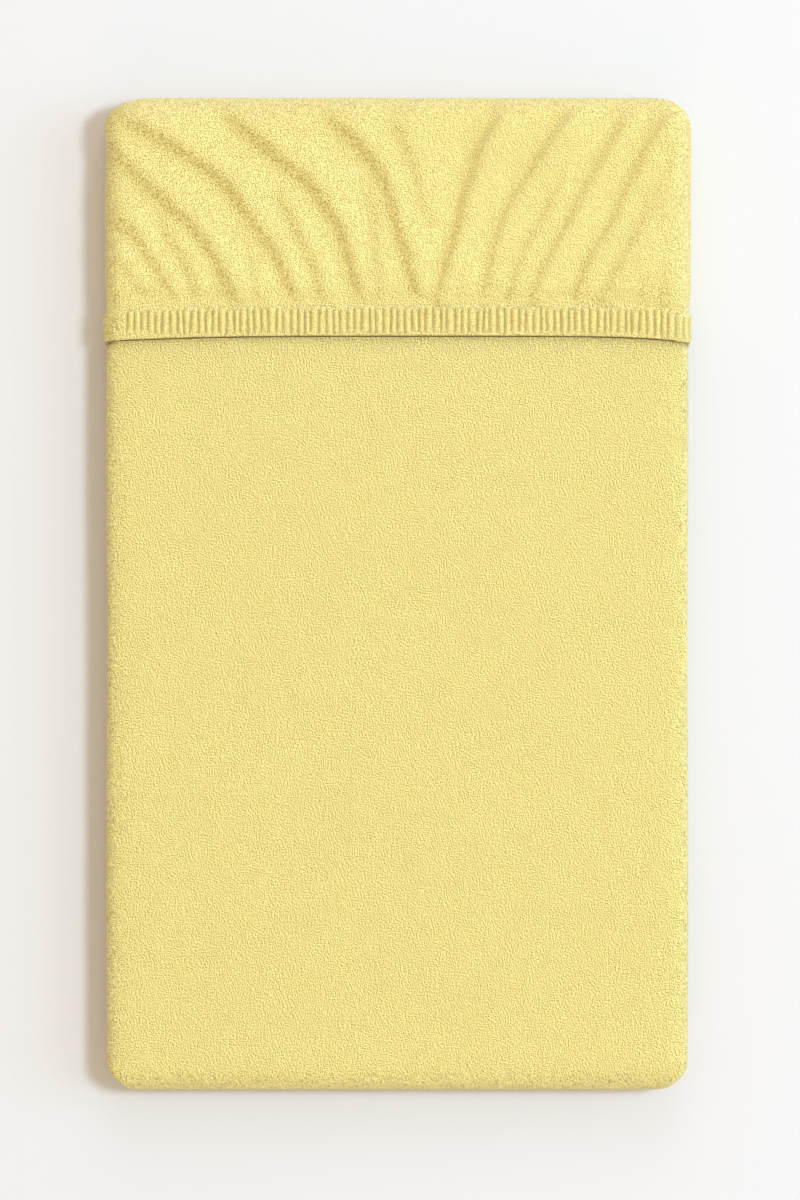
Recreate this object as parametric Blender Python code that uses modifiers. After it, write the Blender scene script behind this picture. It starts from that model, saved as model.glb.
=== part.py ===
"""Terry fitted sheet for a cot mattress, folded flat, with its elasticated end pulled over the bundle.

Metres, +Z up. The bundle lies on z = 0 and is centred on x = 0, y = 0. X runs across it and +Y
points to the end that the gathered pocket covers. The cloth is one piece: its two sides are folded
to the middle and to the middle again, which makes a strip of four plies, and the strip is then
folded back and forth in three lengths. The outer ply of the back length runs on into the pocket,
whose hem is gathered into ribs by the elastic sewn inside it.
"""

import math
from collections import namedtuple

import bmesh
import bpy

# Driving dimensions
BODY_WIDTH = 0.2504
POCKET_WIDTH = 0.2512
LENGTH = 0.4266
CLOTH = 0.0016
PLY_PITCH = 0.0022
LENGTH_PITCH = 0.0024
FLAP_DEPTH = 0.1025
HEM_CLOTH = 0.0021
HEM_LIP = 0.0015
HEM_WIDTH = 0.0128
HEM_TAPER = 0.0008
RIB_PITCH = 0.0031
RIB_HEIGHT = 0.0006

# Middles of the cloth's thickness, worked out from the sizes above
PLIES_ABOVE_FIRST = 3
STRIP_RISE = PLIES_ABOVE_FIRST * PLY_PITCH
HALF_BODY = (BODY_WIDTH - CLOTH) / 2
HALF_POCKET = (POCKET_WIDTH - CLOTH) / 2
FAR_Y = (LENGTH - CLOTH) / 2
NEAR_Y = -FAR_Y
BACK_Z = CLOTH / 2
MIDDLE_Z = BACK_Z + STRIP_RISE + LENGTH_PITCH
FRONT_Z = MIDDLE_Z + 2 * STRIP_RISE + LENGTH_PITCH

# How the strip is folded
SIDE_TURN_RADIUS = STRIP_RISE / 2
INNER_FOLD_SETBACK = 0.0020
CENTRE_SLIT = 0.0016
NEAR_TURN_RADIUS = STRIP_RISE + 0.0023
FAR_TURN_RADIUS = (FRONT_Z - MIDDLE_Z) / 2
NEAR_CORNER = 0.0115
NEAR_CORNER_SWEEP = 0.97
STRIP_END_Y = NEAR_Y + 0.0170

# The pocket
END_ROUNDING = 0.0115
LEFT_END_CORNER = 0.0200
RIGHT_END_CORNER = 0.0135
TOP_ROUNDING = 0.0055
BOTTOM_ROUNDING = 0.0040
FLAP_LOW_Z = FRONT_Z + CLOTH + 0.0004
FLAP_PUFF = 0.0019
PUFF_RISE = 0.0050
PUFF_EDGE = 0.0090
MOUTH_BOW = 0.0019
LEFT_BOW_POWER = 3
RIGHT_BOW_POWER = 6
MOUTH_SLANT = 0.0036
MOUTH_SLIT = 0.0010
MOUTH_SQUEEZE = 0.0006
SQUEEZE_REACH = 0.0250
POCKET_Y = FAR_Y - END_ROUNDING
MOUTH_Y = FAR_Y + CLOTH / 2 - FLAP_DEPTH
PUFF_START = HEM_WIDTH + 0.0006

# Which way the pocket faces where the hem begins to thicken, round its lower corner, and where it is
# as thick as elsewhere: the upward share of its outward direction.
HEM_FOOT_UP = -0.97
HEM_FULL_UP = -0.27

# How the bundle narrows inside the pocket
NARROWING = 0.0021
NARROWING_LENGTH = 0.0060
FAR_INSET = 0.0080
FAR_INSET_START = POCKET_Y - 0.0140
FAR_INSET_END = FAR_Y - 0.0030

# Mesh steps
SIDE_TURN_STEPS = 6
SMALL_TURN_STEPS = 2
LENGTH_TURN_STEPS = 4
POCKET_ROWS = 15
END_ROWS = 3
CURVE_COLUMN_EVERY = 2
FLAP_COLUMN_EVERY = 3
FOLD_SAMPLES = 40

# Troughs between the gathers of the flap, in millimetres: x from the middle of the bundle, up from
# the mouth, at the hem, half way and far ends, and how deep each trough is from 0 to 1.
Fold = namedtuple("Fold", "hem_x hem_up half_x half_up far_x far_up depth")
FOLDS = [
    Fold(-113, 12, -119, 16, -126, 23, 0.60),
    Fold(-104, 13, -112, 24, -122, 33, 0.65),
    Fold(-96, 14, -105, 35, -122, 52, 0.80),
    Fold(-85, 14, -90, 31, -97, 42, 0.80),
    Fold(-69, 14, -88, 44, -125, 81, 0.95),
    Fold(-44, 14, -70, 60, -124, 95, 1.00),
    Fold(-59, 15, -66, 40, -73, 54, 0.35),
    Fold(-32, 14, -40, 36, -51, 57, 0.75),
    Fold(-16, 13, -35, 61, -81, 101, 1.00),
    Fold(-8, 14, -10, 36, -13, 55, 0.60),
    Fold(10, 14, -3, 57, -41, 100, 1.00),
    Fold(17, 50, 8, 70, -7, 97, 0.50),
    Fold(15, 14, 25, 55, 48, 97, 0.95),
    Fold(34, 14, 48, 61, 79, 99, 0.85),
    Fold(45, 14, 52, 36, 63, 58, 0.75),
    Fold(56, 14, 76, 56, 99, 97, 0.75),
    Fold(74, 14, 91, 56, 115, 95, 0.75),
    Fold(86, 14, 91, 27, 98, 37, 0.45),
    Fold(103, 16, 109, 36, 118, 53, 0.30),
]
TROUGH_WIDTH_AT_HEM = 0.0030
TROUGH_WIDTH_FAR = 0.0054
TROUGH_DEPTH = 0.95
TROUGH_FADES_FROM = 0.6
TROUGH_END_DEPTH = 0.3
FAN_CENTRE_X = 0.0130

MM = 0.001


def clear_scene():
    for old in list(bpy.data.objects):
        bpy.data.objects.remove(old, do_unlink=True)


def smooth(t):
    """0 below 0, 1 above 1, and an even ramp between."""
    t = min(1.0, max(0.0, t))
    return t * t * (3 - 2 * t)


def between(start, end, steps):
    """Steps + 1 values from start to end."""
    return [start + (end - start) * i / steps for i in range(steps + 1)]


def arc(centre_x, centre_y, radius, start, end, steps):
    """Points on an arc, with its angles in degrees."""
    angles = [math.radians(a) for a in between(start, end, steps)]
    return [(centre_x + radius * math.cos(a), centre_y + radius * math.sin(a)) for a in angles]


# The strip: four plies made by folding both sides of the cloth to the middle, twice


def outer_ply_edge():
    """How far from the middle the strip's outer ply starts to turn."""
    return HALF_BODY - SIDE_TURN_RADIUS


def half_profile():
    """(x, height) from the middle of the outer ply to the cloth's side edge, which lies inside."""
    edge_x = outer_ply_edge()
    inner_x = edge_x - INNER_FOLD_SETBACK
    slit_x = CENTRE_SLIT / 2 + PLY_PITCH / 2 + CLOTH / 2
    small = PLY_PITCH / 2
    middle = SIDE_TURN_RADIUS
    points = [(0.0, 0.0)]
    points += arc(edge_x, middle, SIDE_TURN_RADIUS, -90, 90, SIDE_TURN_STEPS)
    points += arc(slit_x, STRIP_RISE - small, small, 90, 270, SMALL_TURN_STEPS)
    points += arc(inner_x, middle, small, 90, -90, SMALL_TURN_STEPS)
    points += [(slit_x - small, PLY_PITCH)]
    return points


def strip_profile():
    """(x, height) of the whole strip, from its left side edge to its right one."""
    right = half_profile()
    left = [(-x, height) for x, height in right[:0:-1]]
    return left + right


# The lengthwise folds: a row for each station along the strip

Row = namedtuple("Row", "y z normal_y normal_z inset part")


def mouth_y(x, z):
    """Where the pocket's mouth is: it bows back a little towards the sides and slants back down them."""
    drop = min(1.0, max(0.0, (FLAP_LOW_Z - z) / (FLAP_LOW_Z - BACK_Z)))
    power = LEFT_BOW_POWER if x < 0 else RIGHT_BOW_POWER
    bow = max(drop, min(1.0, abs(x) / HALF_POCKET) ** power)
    return MOUTH_Y - MOUTH_BOW * bow - MOUTH_SLANT * drop


def side_inset(y, z):
    """How much narrower the strip is on each side: at its near corners and inside the pocket."""
    corner = NEAR_CORNER_SWEEP * max(0.0, 1 - (y - NEAR_Y) / NEAR_CORNER)
    held = smooth((y - mouth_y(HALF_POCKET, z)) / NARROWING_LENGTH + 1)
    rounded = smooth((y - FAR_INSET_START) / (FAR_INSET_END - FAR_INSET_START))
    return NEAR_CORNER * (1 - math.sqrt(1 - corner**2)) + NARROWING * held + FAR_INSET * rounded


def straight_rows(z, normal_z, stations, part="strip"):
    return [Row(y, z, 0.0, normal_z, side_inset(y, z), part) for y in stations]


def turn_rows(centre_y, centre_z, radius, start, end):
    """Rows round a turn of the strip."""
    rows = []
    for y, z in arc(centre_y, centre_z, radius, start, end, LENGTH_TURN_STEPS):
        normal = ((centre_y - y) / radius, (centre_z - z) / radius)
        rows.append(Row(y, z, *normal, side_inset(y, z), "strip"))
    return rows


def narrowing_stations(z):
    """Stations that follow the narrowing just outside the mouth, from inside to outside."""
    start = mouth_y(HALF_POCKET, z)
    return [start - share * NARROWING_LENGTH for share in (0.0, 0.33, 0.67, 1.0)]


def strip_rows():
    """Rows along the strip: back length, near turn, front length, far turn, middle length."""
    near_y = NEAR_Y + NEAR_TURN_RADIUS
    corner_y = NEAR_Y + NEAR_CORNER
    inside = [(2 * POCKET_Y + FAR_INSET_START) / 3, FAR_INSET_START]
    mouth = mouth_y(HALF_POCKET, BACK_Z)
    pocket_part = straight_rows(BACK_Z, 1.0, [POCKET_Y] + inside, "pocket")
    pocket_part += straight_rows(BACK_Z, 1.0, [mouth], "mouth")
    outside = [mouth - MOUTH_SLIT] + narrowing_stations(BACK_Z)[1:]
    back = straight_rows(BACK_Z, 1.0, outside + [corner_y])
    near_turn = turn_rows(near_y, BACK_Z + NEAR_TURN_RADIUS, NEAR_TURN_RADIUS, 270, 180)
    near_turn += turn_rows(near_y, FRONT_Z - NEAR_TURN_RADIUS, NEAR_TURN_RADIUS, 180, 90)
    outside = [corner_y] + narrowing_stations(FRONT_Z)[::-1]
    front = straight_rows(FRONT_Z, -1.0, outside + inside[::-1])
    far_z = (FRONT_Z + MIDDLE_Z) / 2
    far_turn = turn_rows(POCKET_Y, far_z, FAR_TURN_RADIUS, 90, 0)[:-1]
    far_turn += turn_rows(POCKET_Y, far_z, FAR_TURN_RADIUS, 0, -90)
    middle = straight_rows(MIDDLE_Z, 1.0, inside + narrowing_stations(MIDDLE_Z) + [STRIP_END_Y])
    return pocket_part + back + near_turn + front + far_turn + middle


def narrowed(x, inset):
    """x on a strip that is narrower by inset on each side."""
    return x * (1 - inset / HALF_BODY)


def grid_lattice(mesh, columns, rows):
    """A flat grid and, for each of its points, its column and row."""
    made = bmesh.ops.create_grid(mesh, x_segments=columns - 1, y_segments=rows - 1, size=1.0)
    places = {}
    for point in made["verts"]:
        column = round((point.co.x + 1) / 2 * (columns - 1))
        row = round((point.co.y + 1) / 2 * (rows - 1))
        places[point] = (column, row)
    return places


def add_strip(mesh):
    """Folds a flat grid of cloth into the strip. Inside the pocket its outer ply is the pocket's own,
    and beside the mouth the cloth is slit, so that the pocket can turn up over the strip's sides."""
    profile = strip_profile()
    rows = strip_rows()
    places = grid_lattice(mesh, len(profile), len(rows))
    for point, (column, row) in places.items():
        x, height = profile[column]
        at = rows[row]
        point.co = (
            narrowed(x, at.inset),
            at.y + height * at.normal_y,
            at.z + height * at.normal_z,
        )
    middle_column = len(profile) // 2
    outer_reach = 1 + SIDE_TURN_STEPS // 2
    left_out = []
    for face in {face for point in places for face in point.link_faces}:
        columns = [abs(places[point][0] - middle_column) for point in face.verts]
        parts = {rows[places[point][1]].part for point in face.verts}
        if max(columns) > outer_reach:
            continue
        if "pocket" in parts or ("mouth" in parts and min(columns) > 0):
            left_out.append(face)
    bmesh.ops.delete(mesh, geom=left_out, context="FACES")


# The pocket: a cap of rounded-rectangle section, closed at the far end


def fold_curve(fold):
    """Points along a trough, from the hem to its far end."""
    start = (fold.hem_x, fold.hem_up)
    end = (fold.far_x, fold.far_up)
    pull = [2 * half - (a + b) / 2 for half, a, b in zip((fold.half_x, fold.half_up), start, end)]
    points = []
    for t in between(0.0, 1.0, FOLD_SAMPLES):
        x, up = (a * (1 - t) ** 2 + 2 * p * t * (1 - t) + b * t * t for a, p, b in zip(start, pull, end))
        points.append((x * MM, up * MM, t))
    return points


def trough_share(x, up, curves):
    """How far down the cloth lies between its gathers: 0 on a gather, 1 at the bottom of a trough."""
    left = 1.0
    for fold, points in curves:
        away, t = min((math.hypot(x - px, up - pup), t) for px, pup, t in points)
        width = TROUGH_WIDTH_AT_HEM + (TROUGH_WIDTH_FAR - TROUGH_WIDTH_AT_HEM) * t
        fade = 1 - (1 - TROUGH_END_DEPTH) * smooth((t - TROUGH_FADES_FROM) / (1 - TROUGH_FADES_FROM))
        left *= 1 - fold.depth * fade * math.exp(-((away / width) ** 2))
    return 1 - left


def flap_lift(x, up, curves):
    """Height of the gathered flap above its lowest level."""
    rise = smooth((up - PUFF_START) / PUFF_RISE)
    sides = smooth((HALF_POCKET - abs(x)) / PUFF_EDGE)
    end = smooth((FLAP_DEPTH - up) / END_ROUNDING)
    return FLAP_PUFF * rise * sides * end * (1 - TROUGH_DEPTH * trough_share(x, up, curves))


def shared_edge():
    """How far from the middle the pocket's back is one with the strip's outer ply."""
    return narrowed(outer_ply_edge(), NARROWING)


Place = namedtuple("Place", "x z side up")


def half_path():
    """The pocket's right half, from its back up the wall to the middle of the flap: the length of
    each piece, its start or centre, its radius, and where its normal points at both ends in degrees."""
    bottom_z = BACK_Z + BOTTOM_ROUNDING
    top_z = FLAP_LOW_Z - TOP_ROUNDING
    bottom_x = HALF_POCKET - BOTTOM_ROUNDING
    top_x = HALF_POCKET - TOP_ROUNDING
    quarter = math.pi / 2
    return [
        (bottom_x - shared_edge(), shared_edge(), BACK_Z, 0.0, -90, -90),
        (BOTTOM_ROUNDING * quarter, bottom_x, bottom_z, BOTTOM_ROUNDING, -90, 0),
        (top_z - bottom_z, HALF_POCKET, bottom_z, 0.0, 0, 0),
        (TOP_ROUNDING * quarter, top_x, top_z, TOP_ROUNDING, 0, 90),
        (top_x, top_x, FLAP_LOW_Z, 0.0, 90, 90),
    ]


def place_on(path, along):
    """The place this far along the pocket's right half, and which way its outside faces."""
    for length, x, z, radius, start, end in path:
        if along > length and start < 90:
            along -= length
            continue
        angle = math.radians(start + (end - start) * along / length)
        side = math.cos(angle)
        up = math.sin(angle)
        straight = 0.0 if radius else along
        return Place(x + radius * side - straight * up, z + radius * up + straight * side, side, up)


def hem_places():
    """Two places for each rib, all round the pocket from the middle of its back."""
    path = half_path()
    total = sum(piece[0] for piece in path)
    ribs = round(total / RIB_PITCH)
    right = [place_on(path, along) for along in between(0.0, total, 2 * ribs)]
    left = [place._replace(x=-place.x, side=-place.side) for place in right[-2::-1]]
    middle = Place(0.0, BACK_Z, 0.0, -1.0)
    return [middle] + right + left + [middle]


def is_curved(place):
    """Whether a place is on a rounded corner and faces neither straight sideways nor straight up."""
    return min(abs(place.side), abs(place.up)) > 0.02


def pocket_columns(places):
    """Which of the hem's places carry on up the pocket: fewer on its flap, and the ends of its flats."""
    last = len(places) - 1
    columns = []
    for i, place in enumerate(places):
        from_middle = i - last // 2
        beside_curve = any(is_curved(places[j]) for j in (i - 1, i + 1) if 0 <= j <= last)
        if is_curved(place):
            kept = from_middle % CURVE_COLUMN_EVERY == 0
        elif place.z >= FLAP_LOW_Z:
            kept = from_middle % FLAP_COLUMN_EVERY == 0 or beside_curve
        else:
            kept = beside_curve or i in (0, 1, last - 1, last)
        if kept:
            columns.append(i)
    return columns


def squeezed(x, up):
    """x beside the mouth, where the elastic draws the pocket in."""
    if abs(x) <= shared_edge():
        return x
    return x - math.copysign(MOUTH_SQUEEZE * (1 - smooth(up / SQUEEZE_REACH)), x)


def hem_point(place, up, out=0.0):
    """A point of the hem, this far up from the mouth and this far out from the pocket's surface."""
    x = squeezed(place.x, up)
    return (x + out * place.side, mouth_y(place.x, place.z) + up, place.z + out * place.up)


def pocket_point(place, share):
    """A point between the hem and the rounded end."""
    start = mouth_y(place.x, place.z)
    hem_top = start + HEM_WIDTH
    y = hem_top + (POCKET_Y - hem_top) * share
    return (squeezed(place.x, y - start), y, place.z)


def end_point(x, z, angle):
    """A point of the pocket's rounded end, from 0 where it starts to a quarter turn at the flat end."""
    draw_in = 1 - math.cos(angle)
    corner = LEFT_END_CORNER if x < 0 else RIGHT_END_CORNER
    height_share = (z - BACK_Z) / (FLAP_LOW_Z - BACK_Z)
    low = BACK_Z + BOTTOM_ROUNDING * draw_in
    high = FLAP_LOW_Z - TOP_ROUNDING * draw_in
    return (
        x * (1 - corner * draw_in / HALF_POCKET),
        POCKET_Y + END_ROUNDING * math.sin(angle),
        low + (high - low) * height_share,
    )


def pocket_stations():
    """Shares of the way from the hem to the rounded end, closer together just above the hem."""
    straight = POCKET_Y - MOUTH_Y - HEM_WIDTH
    start = PUFF_START - HEM_WIDTH
    rest = between((start + PUFF_RISE) / straight, 1.0, POCKET_ROWS)
    return [0.0, start / straight, (start + PUFF_RISE / 2) / straight] + rest


def add_hem(mesh):
    """The ribbed hem, and the strip of the back beside it. It is thicker than the cloth, all outwards."""
    places = hem_places()
    rows = [0.0, HEM_LIP, HEM_WIDTH - HEM_TAPER, HEM_WIDTH]
    thick = mesh.verts.layers.deform.verify()
    for point, (column, row) in grid_lattice(mesh, len(places), len(rows)).items():
        place = places[column]
        gathered = smooth((place.up - HEM_FOOT_UP) / (HEM_FULL_UP - HEM_FOOT_UP)) if row < 3 else 0.0
        rib = RIB_HEIGHT * (0.5 if row == 0 else column % 2)
        point.co = hem_point(place, rows[row], gathered * (rib + (HEM_CLOTH - CLOTH) / 2))
        if gathered:
            point[thick][0] = gathered


def meet_hem(mesh, places, columns, corners):
    """Gives the pocket's first row the hem's places that lie between its columns."""
    for i, (start, end) in enumerate(zip(columns, columns[1:])):
        left = corners[(i, 0)]
        for column in range(start + 1, end):
            edge = mesh.edges.get((left, corners[(i + 1, 0)]))
            _, left = bmesh.utils.edge_split(edge, left, 0.5)
            left.co = hem_point(places[column], HEM_WIDTH)


def split_along_gathers(corners, columns, rows):
    """Halves each square of the flap along the way its gathers run, which fan out to both sides."""
    for column in range(columns - 1):
        for row in range(1, rows - 1):
            square = [corners[(column + i, row + j)] for i in (0, 1) for j in (0, 1)]
            if min(point.co.z for point in square) < FLAP_LOW_Z:
                continue
            on_left = square[0].co.x < FAN_CENTRE_X
            low, high = (column, column + 1) if on_left else (column + 1, column)
            first, second = corners[(low, row)], corners[(high, row + 1)]
            face = next(face for face in first.link_faces if second in face.verts)
            bmesh.utils.face_split(face, first, second)


def add_pocket(mesh):
    places = hem_places()
    columns = pocket_columns(places)
    stations = pocket_stations()
    rows = len(stations) + END_ROWS
    curves = [(fold, fold_curve(fold)) for fold in FOLDS]
    lattice = grid_lattice(mesh, len(columns), rows)
    for point, (column, row) in lattice.items():
        place = places[columns[column]]
        if row < len(stations):
            x, y, z = pocket_point(place, stations[row])
        else:
            x, y, z = end_point(place.x, place.z, math.pi / 2 * (row - len(stations) + 1) / END_ROWS)
        lift = flap_lift(x, y - MOUTH_Y, curves) if place.z >= FLAP_LOW_Z else 0.0
        point.co = (x, y, z + lift)
    corners = {corner: point for point, corner in lattice.items()}
    split_along_gathers(corners, len(columns), rows)
    meet_hem(mesh, places, columns, corners)
    bmesh.ops.remove_doubles(mesh, verts=mesh.verts, dist=MM / 100)
    rim = [edge for edge in mesh.edges if all(end.co.y > FAR_Y - MM / 100 for end in edge.verts)]
    bmesh.ops.edgeloop_fill(mesh, edges=rim)


# Objects


def cloth_material(name, colour, roughness):
    material = bpy.data.materials.new(name)
    material.use_nodes = True
    shader = material.node_tree.nodes["Principled BSDF"]
    shader.inputs["Base Color"].default_value = (*colour, 1.0)
    shader.inputs["Roughness"].default_value = roughness
    shader.inputs["Metallic"].default_value = 0.0
    return material


def add_cloth_object(name, collection, material):
    """The sheet: the cloth's middle surface, given its thickness, which is greater at the hem."""
    mesh = bmesh.new()
    add_strip(mesh)
    add_hem(mesh)
    add_pocket(mesh)
    bmesh.ops.recalc_face_normals(mesh, faces=mesh.faces)
    data = bpy.data.meshes.new(name)
    mesh.to_mesh(data)
    mesh.free()
    data.shade_smooth()
    data.materials.append(material)
    piece = bpy.data.objects.new(name, data)
    collection.objects.link(piece)
    hem = piece.vertex_groups.new(name="hem")
    wall = piece.modifiers.new("cloth thickness", "SOLIDIFY")
    wall.thickness = HEM_CLOTH
    wall.offset = 0.0
    wall.use_even_offset = True
    wall.vertex_group = hem.name
    wall.thickness_vertex_group = CLOTH / HEM_CLOTH
    flats = piece.modifiers.new("merge flat faces", "DECIMATE")
    flats.decimate_type = "DISSOLVE"
    flats.angle_limit = math.radians(0.5)


def build():
    clear_scene()
    collection = bpy.data.collections.new("folded_fitted_sheet")
    bpy.context.scene.collection.children.link(collection)
    terry = cloth_material("yellow_terry", (0.86, 0.73, 0.28), 0.95)
    add_cloth_object("fitted_sheet", collection, terry)


build()
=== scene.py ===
import math

import bmesh
import bpy
import numpy as np
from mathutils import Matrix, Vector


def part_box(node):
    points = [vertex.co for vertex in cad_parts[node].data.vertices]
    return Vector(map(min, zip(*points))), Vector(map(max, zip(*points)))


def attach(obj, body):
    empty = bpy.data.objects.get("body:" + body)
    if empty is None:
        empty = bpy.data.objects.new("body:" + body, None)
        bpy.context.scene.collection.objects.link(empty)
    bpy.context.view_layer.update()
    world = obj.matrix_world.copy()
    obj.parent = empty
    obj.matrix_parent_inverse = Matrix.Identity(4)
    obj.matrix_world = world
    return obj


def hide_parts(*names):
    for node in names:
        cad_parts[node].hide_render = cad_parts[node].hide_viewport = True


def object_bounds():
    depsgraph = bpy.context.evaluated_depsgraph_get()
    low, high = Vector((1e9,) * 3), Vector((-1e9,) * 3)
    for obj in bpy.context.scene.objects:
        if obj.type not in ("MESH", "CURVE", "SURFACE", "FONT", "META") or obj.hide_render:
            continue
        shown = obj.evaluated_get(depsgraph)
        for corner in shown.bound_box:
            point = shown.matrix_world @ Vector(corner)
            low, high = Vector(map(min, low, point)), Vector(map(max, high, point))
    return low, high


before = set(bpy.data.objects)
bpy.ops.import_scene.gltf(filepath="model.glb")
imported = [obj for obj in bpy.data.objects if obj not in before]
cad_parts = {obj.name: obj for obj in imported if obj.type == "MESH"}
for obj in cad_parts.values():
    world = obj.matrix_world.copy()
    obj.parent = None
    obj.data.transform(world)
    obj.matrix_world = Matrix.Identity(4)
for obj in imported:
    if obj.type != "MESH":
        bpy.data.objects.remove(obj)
cadLow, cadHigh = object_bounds()
sheetLow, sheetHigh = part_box("fitted_sheet")
mm = 0.001
print("frame loaded")


# the photograph's view, from straight above through a long lens

view = {
    "photoWidth": 800,        # pixels
    "photoHeight": 1200,
    "farEndRow": 98,          # where the bundle's two ends lie in the photograph
    "nearEndRow": 1090.5,
    "middleColumn": 397.3,    # the bundle's middle
    "lens": 200,
    "sensor": 36,
    "outlineHeight": 0.022,   # how high the bundle is widest
    "farthest": 10,
}

metresPerPixel = (sheetHigh.y - sheetLow.y) / (view["nearEndRow"] - view["farEndRow"])
frameHeight = view["photoHeight"] * metresPerPixel
cameraAway = frameHeight * view["lens"] / view["sensor"]

cameraData = bpy.data.cameras.new("camera")
cameraData.lens = view["lens"]
cameraData.sensor_width = view["sensor"]
cameraData.clip_end = view["farthest"]
camera = bpy.data.objects.new("camera", cameraData)
bpy.context.scene.collection.objects.link(camera)
camera.location = (
    (view["photoWidth"] / 2 - view["middleColumn"]) * metresPerPixel,
    ((view["farEndRow"] + view["nearEndRow"]) / 2 - view["photoHeight"] / 2) * metresPerPixel,
    cameraAway + view["outlineHeight"],
)
bpy.context.scene.camera = camera
print("camera placed")


# soft studio light: a cool key high on the right, broad low fills from the right, from the far end and,
# warm and weak, from the near end, and a warm pale room

studio = {
    "floorColour": (0.72, 0.705, 0.685),
    "floorRoughness": 0.6,
    "floorSize": 12.0,
    "roomColour": (1.0, 0.90, 0.72),
    "roomStrength": 0.70,
    # azimuth and elevation in degrees, azimuth from +X towards +Y; distance and size in metres
    "lights": {
        "key": {"azimuth": 12, "elevation": 65, "away": 4.4, "size": 0.84, "watts": 100,
                "colour": (0.70, 0.86, 1.0)},
        "rightFill": {"azimuth": 5, "elevation": 31, "away": 4.5, "size": 3.25, "watts": 96,
                      "colour": (0.44, 0.625, 1.0)},
        "farFill": {"azimuth": 85, "elevation": 30, "away": 4.5, "size": 3.25, "watts": 56,
                    "colour": (0.83, 0.76, 1.0)},
        "nearFill": {"azimuth": 270, "elevation": 30, "away": 4.5, "size": 3.25, "watts": 23,
                     "colour": (1.0, 0.45, 0.05)},
    },
}


def addLight(name, light):
    azimuth = math.radians(light["azimuth"])
    elevation = math.radians(light["elevation"])
    lamp = bpy.data.lights.new(name, "AREA")
    lamp.shape = "DISK"
    lamp.size = light["size"]
    lamp.energy = light["watts"]
    lamp.color = light["colour"]
    holder = bpy.data.objects.new(name, lamp)
    bpy.context.scene.collection.objects.link(holder)
    holder.location = (
        light["away"] * math.cos(elevation) * math.cos(azimuth),
        light["away"] * math.cos(elevation) * math.sin(azimuth),
        light["away"] * math.sin(elevation),
    )
    holder.rotation_euler = (-holder.location).to_track_quat("-Z", "Y").to_euler()


def addRoom():
    world = bpy.data.worlds.new("room")
    world.use_nodes = True
    background = world.node_tree.nodes["Background"]
    background.inputs["Color"].default_value = (*studio["roomColour"], 1)
    background.inputs["Strength"].default_value = studio["roomStrength"]
    bpy.context.scene.world = world
    bpy.context.scene.view_settings.view_transform = "Standard"


def addFloor():
    bpy.ops.object.select_all(action="DESELECT")
    bpy.ops.mesh.primitive_plane_add(size=studio["floorSize"], location=(0, 0, cadLow.z))
    floor = bpy.context.object
    floor.name = "floor"
    paper = bpy.data.materials.new("paleFloor")
    paper.use_nodes = True
    shader = paper.node_tree.nodes["Principled BSDF"]
    shader.inputs["Base Color"].default_value = (*studio["floorColour"], 1)
    shader.inputs["Roughness"].default_value = studio["floorRoughness"]
    floor.data.materials.append(paper)


for lightName, lightValues in studio["lights"].items():
    addLight(lightName, lightValues)
addRoom()
addFloor()
print("studio lit")


# sizes of the folded cloth, in metres; heights are those of the middle of its thickness

cloth = {
    "thickness": 0.0016,
    "plyPitch": 0.0022,          # from ply to ply
    "lengthPitch": 0.0024,       # from one folded length to the next
    "pliesAboveFirst": 3,
    "hemRise": 0.00125,          # how far the ribbed hem stands out on each side of the bundle
    "sleeveRoom": 0.0002,        # the pocket is this much wider than the body on each side
    "pocketEase": 0.0002,        # and this much wider than its solid
    "innerFoldSetback": 0.0020,
    "wander": 0.0002,            # of the folded sides of the front length
    "innerWander": 0.0010,       # and of those under it
    "wanderLength": 0.0310,      # how far apart its swells are along the bundle
    "wanderHeight": 0.0017,      # and up through it
    "centreSlit": 0.0016,
    "nearTurnRoom": 0.0023,      # inside the turn at the near end
    "nearCorner": 0.0115,
    "nearCornerSweep": 0.97,
    "stripEndGap": 0.0170,       # between the cloth's free end and the near turn
    "narrowing": 0.0021,         # of the bundle inside the pocket
    "narrowingLength": 0.0030,
    "lateNarrowing": 0.0004,     # how much later the upper lengths narrow
    "farInset": 0.0080,          # how much the bundle narrows towards its far end, inside the pocket
    "farInsetFrom": 0.0140,      # where that starts, before the far turn
    "farInsetTo": 0.0030,        # and ends, before the far end
    "outerColumns": 24,          # half of the outer ply
    "sideTurnSteps": 10,
    "innerColumns": 3,
    "smallTurnSteps": 4,
    "lengthTurnSteps": 8,
    "frontRow": 0.0050,          # the longest steps between rows
    "backRow": 0.0100,
    "middleRow": 0.0150,
    "turnRow": 0.0050,
    "cornerRow": 0.0014,
    "narrowRow": 0.0010,
    "mouthRow": 0.0005,
    "mouthRowsFrom": 0.0030,     # where those next to the mouth start, before it
    "mouthRowsTo": 0.0042,       # and end, behind it
    "backMouthRoom": 0.0300,     # from the mouth to the next row on the back
}

stripRise = cloth["pliesAboveFirst"] * cloth["plyPitch"]
halfPocket = (sheetHigh.x - sheetLow.x - cloth["thickness"]) / 2 - cloth["hemRise"] + cloth["pocketEase"]
halfBody = halfPocket - cloth["sleeveRoom"]
farY = sheetHigh.y - cloth["thickness"] / 2
nearY = -farY
backZ = cloth["thickness"] / 2
middleZ = backZ + stripRise + cloth["lengthPitch"]
frontZ = middleZ + 2 * stripRise + cloth["lengthPitch"]
sideTurnRadius = stripRise / 2
nearTurnRadius = stripRise + cloth["nearTurnRoom"]
farTurnRadius = (frontZ - middleZ) / 2

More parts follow.
